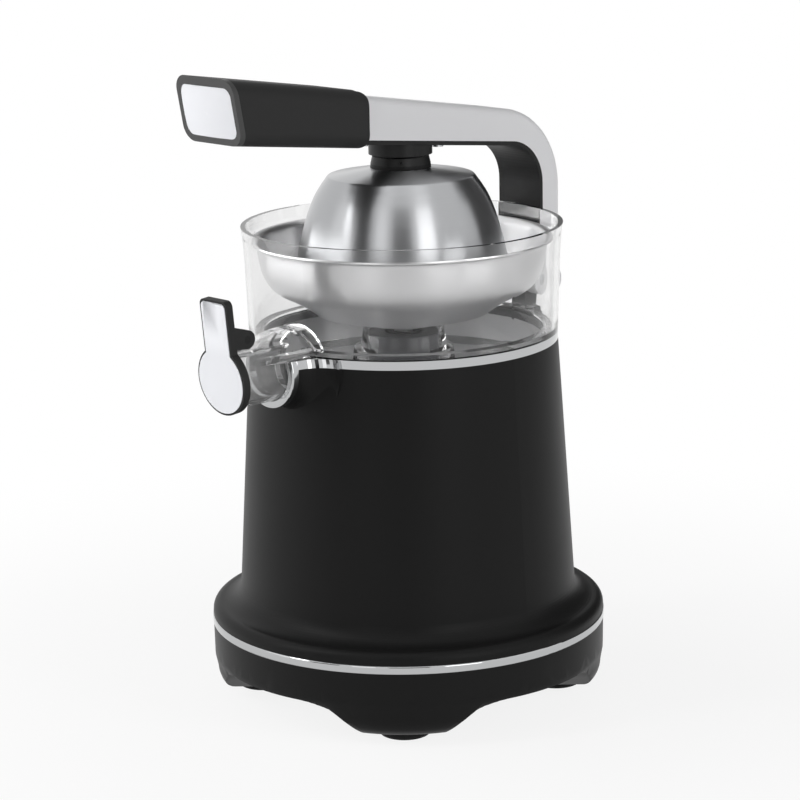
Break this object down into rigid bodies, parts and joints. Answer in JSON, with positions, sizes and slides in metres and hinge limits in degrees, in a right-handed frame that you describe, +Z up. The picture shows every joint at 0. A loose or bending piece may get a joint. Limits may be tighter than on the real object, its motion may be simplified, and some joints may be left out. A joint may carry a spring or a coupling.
{
  "type": "citrus press juicer",
  "caption": "Lever-arm electric citrus press with a tapered drum body, clear bowl, steel strainer and dome, and a hinged spout flap.",
  "frame": {"origin": "on the ground under the middle of the round base", "axes": "+Z up, the spout and the grip point along -Y, the arm's hinge is at +Y"},
  "size_m": [0.2048, 0.236, 0.3317],
  "materials": {
    "body_black": "satin",
    "cover_black": "satin",
    "grip_black": "soft touch",
    "frame_grey": "satin",
    "liner_black": "satin",
    "inlay_silver": "satin",
    "arm_silver": "satin",
    "chrome_trim": "polished",
    "brushed": "brushed",
    "steel": "turned",
    "clear": "clear",
    "rubber_black": "matte",
    "nylon_white": "satin",
    "bronze": "sintered",
    "plate_grey": "satin"
  },
  "bodies": {
    "housing": {"lower_cover": "cover_black", "rubber_feet": "rubber_black", "base_screws": "steel", "cord_gland": "rubber_black", "base_ring": "chrome_trim", "body_shell": "body_black", "top_ring": "chrome_trim", "bearing_bush": "bronze", "shaft_seal": "rubber_black", "gear_plate": "plate_grey", "plate_pillars": "steel", "motor_can": "steel", "motor_end_cap": "cover_black", "motor_magnets": "plate_grey", "compound_pin": "steel", "micro_switch": "cover_black", "bowl": "clear", "strainer": "brushed", "hinge_post": "liner_black", "hinge_pin": "steel"},
    "motor_rotor": {"rotor": "steel", "cooling_fan": "cover_black"},
    "compound": {"compound_gear": "nylon_white"},
    "output_train": {"output_gear": "nylon_white", "return_spring": "steel"},
    "drive": {"drive_shaft": "steel", "reaming_cone": "body_black"},
    "plunger": {"switch_plunger": "nylon_white"},
    "arm": {"arm_shell": "arm_silver", "arm_liner": "liner_black", "arm_screws": "steel", "grip": "grip_black", "grip_frame": "frame_grey", "grip_inlay": "inlay_silver", "hub_mount": "liner_black"},
    "dome_cup": {"hub_socket": "liner_black", "dome_pin": "steel", "dome_clip": "steel", "dome": "brushed"},
    "spout_flap": {"flap": "grip_black", "flap_inlay": "inlay_silver", "flap_pin": "steel", "flap_seal": "rubber_black"}
  },
  "joints": [
    {"name": "gear_spin", "type": "hinge", "parent": "housing", "child": "output_train", "pos_m": [0, 0, 0.145], "axis": [0, 0, 1], "continuous": true},
    {"name": "compound_spin", "type": "hinge", "parent": "housing", "child": "compound", "pos_m": [0, 0.04688, 0.13], "axis": [0, 0, 1], "continuous": true},
    {"name": "rotor_spin", "type": "hinge", "parent": "housing", "child": "motor_rotor", "pos_m": [-0.02732, 0.03448, 0.1], "axis": [0, 0, 1], "continuous": true},
    {"name": "cone_press", "type": "slide", "parent": "output_train", "child": "drive", "axis": [0, 0, -1], "range_m": [0, 0.0025], "stiffness_N_per_m": 2000, "springref_m": -0.002, "deforming": ["return_spring"]},
    {"name": "plunger_travel", "type": "slide", "parent": "housing", "child": "plunger", "axis": [0, 0, -1], "range_m": [0, 0.0025]},
    {"name": "arm_lift", "type": "hinge", "parent": "housing", "child": "arm", "pos_m": [0, 0.0935, 0.205], "axis": [-1, 0, 0], "range_deg": [0, 70]},
    {"name": "dome_tilt", "type": "hinge", "parent": "arm", "child": "dome_cup", "pos_m": [0, 0, 0.272], "axis": [1, 0, 0], "range_deg": [-2.5, 2.5]},
    {"name": "flap_swing", "type": "hinge", "parent": "housing", "child": "spout_flap", "pos_m": [0, -0.112, 0.204], "axis": [-1, 0, 0], "range_deg": [0, 40]}
  ],
  "couplings": [
    {"joint": "compound_spin", "follows": "gear_spin", "ratio": -4},
    {"joint": "rotor_spin", "follows": "gear_spin", "ratio": 16},
    {"joint": "plunger_travel", "follows": "cone_press", "ratio": 1}
  ]
}
